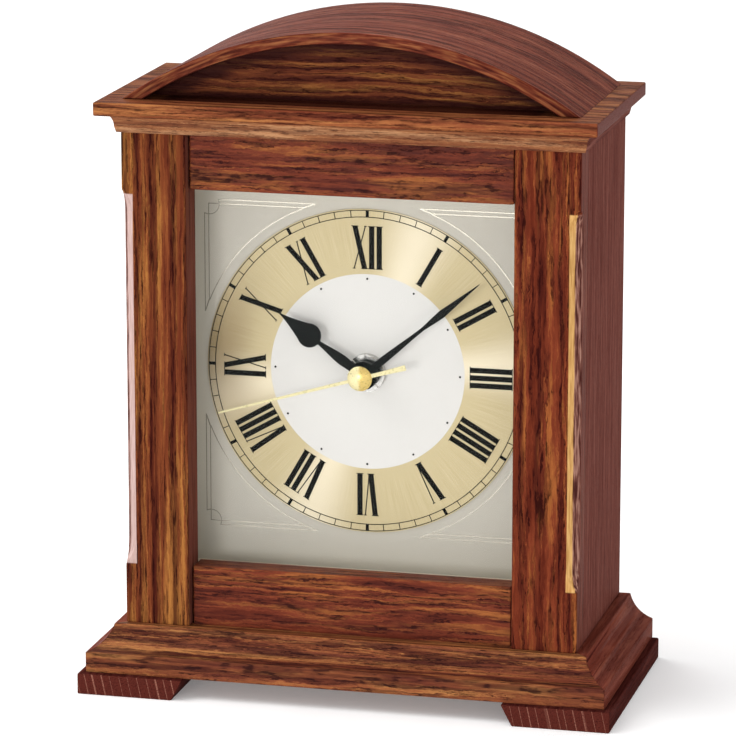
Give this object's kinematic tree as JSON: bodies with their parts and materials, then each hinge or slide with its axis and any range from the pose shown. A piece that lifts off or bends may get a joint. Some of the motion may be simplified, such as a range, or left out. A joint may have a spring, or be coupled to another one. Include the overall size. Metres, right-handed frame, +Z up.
{
  "type": "mantel clock",
  "caption": "Free-standing wooden mantel clock with an arched top, a glazed square dial with Roman numerals, three hands on a geared quartz movement, and a hinged back door.",
  "frame": {"origin": "on the table under the middle of the two feet", "axes": "+Z up, the dial faces -Y, +X to the right of someone who reads the dial"},
  "size_m": [0.205, 0.1, 0.2542],
  "materials": {
    "oak_case": "satin lacquer",
    "oak_rail": "satin lacquer",
    "oak_base": "satin lacquer",
    "oak_top": "satin lacquer",
    "back_board": "matt",
    "spacer_wood": "matt paint",
    "clear_glass": "polished",
    "dial_silver": "satin brushed",
    "dial_gold": "brushed",
    "dial_white": "matt",
    "print_black": "matt ink",
    "print_grey": "matt ink",
    "hand_black": "satin black paint",
    "hand_gold": "satin",
    "nut_silver": "polished",
    "plastic_dark": "moulded",
    "plastic_white": "moulded",
    "rubber_black": "matt",
    "screw_steel": "zinc plated",
    "hinge_brass": "satin",
    "steel_sheet": "satin",
    "magnet_dark": "matt",
    "copper_wire": "enamelled winding",
    "board_green": "solder mask",
    "battery_skin": "printed sleeve"
  },
  "bodies": {
    "case": {"foot_left": "oak_case", "foot_right": "oak_case", "pillar_left": "oak_case", "pillar_right": "oak_case", "side_panel_left": "oak_case", "side_panel_right": "oak_case", "base_board": "oak_base", "base_moulding_front": "oak_base", "base_moulding_left": "oak_base", "base_moulding_right": "oak_base", "upper_rail": "oak_rail", "lower_rail": "oak_rail", "arch_front_panel": "oak_rail", "arch_rear_panel": "oak_rail", "top_board": "oak_top", "bed_moulding_front": "oak_top", "bed_moulding_left": "oak_top", "bed_moulding_right": "oak_top", "cornice_slab": "oak_top", "arch_roof": "oak_top", "back_frame": "back_board", "spacer_frame": "spacer_wood", "glass_pane": "clear_glass", "dial_plate": "dial_silver", "chapter_ring": "dial_gold", "dial_centre": "dial_white", "dial_print": "print_black", "corner_ornaments": "print_grey", "fixing_nut": "nut_silver", "movement_front_case": "plastic_dark", "movement_rear_cover": "plastic_dark", "movement_middle_plate": "plastic_white", "dial_washer": "rubber_black", "base_screws": "screw_steel", "back_frame_screws": "screw_steel", "dial_screws": "screw_steel", "hinge_frame_leaves": "hinge_brass", "hinge_pins": "hinge_brass", "hinge_frame_screws": "hinge_brass", "stator": "steel_sheet", "battery_contacts": "steel_sheet", "door_magnet": "magnet_dark", "coil": "copper_wire", "circuit_board": "board_green", "battery": "battery_skin"},
    "door": {"back_door": "back_board", "hinge_door_leaves": "hinge_brass", "hinge_door_screws": "hinge_brass", "magnet_strike": "steel_sheet"},
    "seconds": {"second_hand": "hand_gold", "seconds_wheel": "plastic_white"},
    "minutes": {"minute_hand": "hand_black", "centre_wheel": "plastic_white"},
    "hours": {"hour_hand": "hand_black", "hour_wheel": "plastic_white"},
    "third": {"third_wheel": "plastic_white"},
    "intermediate": {"intermediate_wheel": "plastic_white"},
    "motion": {"motion_wheel": "plastic_white"},
    "step_rotor": {"rotor": "magnet_dark"},
    "setting": {"set_knob": "plastic_dark"}
  },
  "joints": [
    {"name": "door_hinge", "type": "hinge", "parent": "case", "child": "door", "pos_m": [-0.05535, 0.048, 0.12], "axis": [0, 0, 1], "range_deg": [0, 170]},
    {"name": "seconds_spin", "type": "hinge", "parent": "case", "child": "seconds", "pos_m": [0, 0, 0.1212], "axis": [0, 1, 0], "continuous": true},
    {"name": "minutes_spin", "type": "hinge", "parent": "case", "child": "minutes", "pos_m": [0, 0, 0.1212], "axis": [0, 1, 0], "continuous": true},
    {"name": "hours_spin", "type": "hinge", "parent": "case", "child": "hours", "pos_m": [0, 0, 0.1212], "axis": [0, 1, 0], "continuous": true},
    {"name": "third_spin", "type": "hinge", "parent": "case", "child": "third", "pos_m": [0.00935, 0, 0.1266], "axis": [0, 1, 0], "continuous": true},
    {"name": "intermediate_spin", "type": "hinge", "parent": "case", "child": "intermediate", "pos_m": [0.0015, 0, 0.12971], "axis": [0, 1, 0], "continuous": true},
    {"name": "motion_spin", "type": "hinge", "parent": "case", "child": "motion", "pos_m": [-0.00849, 0, 0.12969], "axis": [0, 1, 0], "continuous": true},
    {"name": "rotor_spin", "type": "hinge", "parent": "case", "child": "step_rotor", "pos_m": [0.00939, 0, 0.13258], "axis": [0, 1, 0], "continuous": true},
    {"name": "setting_spin", "type": "hinge", "parent": "case", "child": "setting", "pos_m": [-0.0205, 0, 0.13313], "axis": [0, 1, 0], "continuous": true}
  ],
  "couplings": [
    {"joint": "third_spin", "follows": "seconds_spin", "ratio": -0.13333},
    {"joint": "minutes_spin", "follows": "seconds_spin", "ratio": 0.016667},
    {"joint": "motion_spin", "follows": "seconds_spin", "ratio": -0.0055556},
    {"joint": "hours_spin", "follows": "seconds_spin", "ratio": 0.0013889},
    {"joint": "setting_spin", "follows": "seconds_spin", "ratio": 0.014286},
    {"joint": "intermediate_spin", "follows": "seconds_spin", "ratio": -5},
    {"joint": "rotor_spin", "follows": "seconds_spin", "ratio": 30}
  ]
}
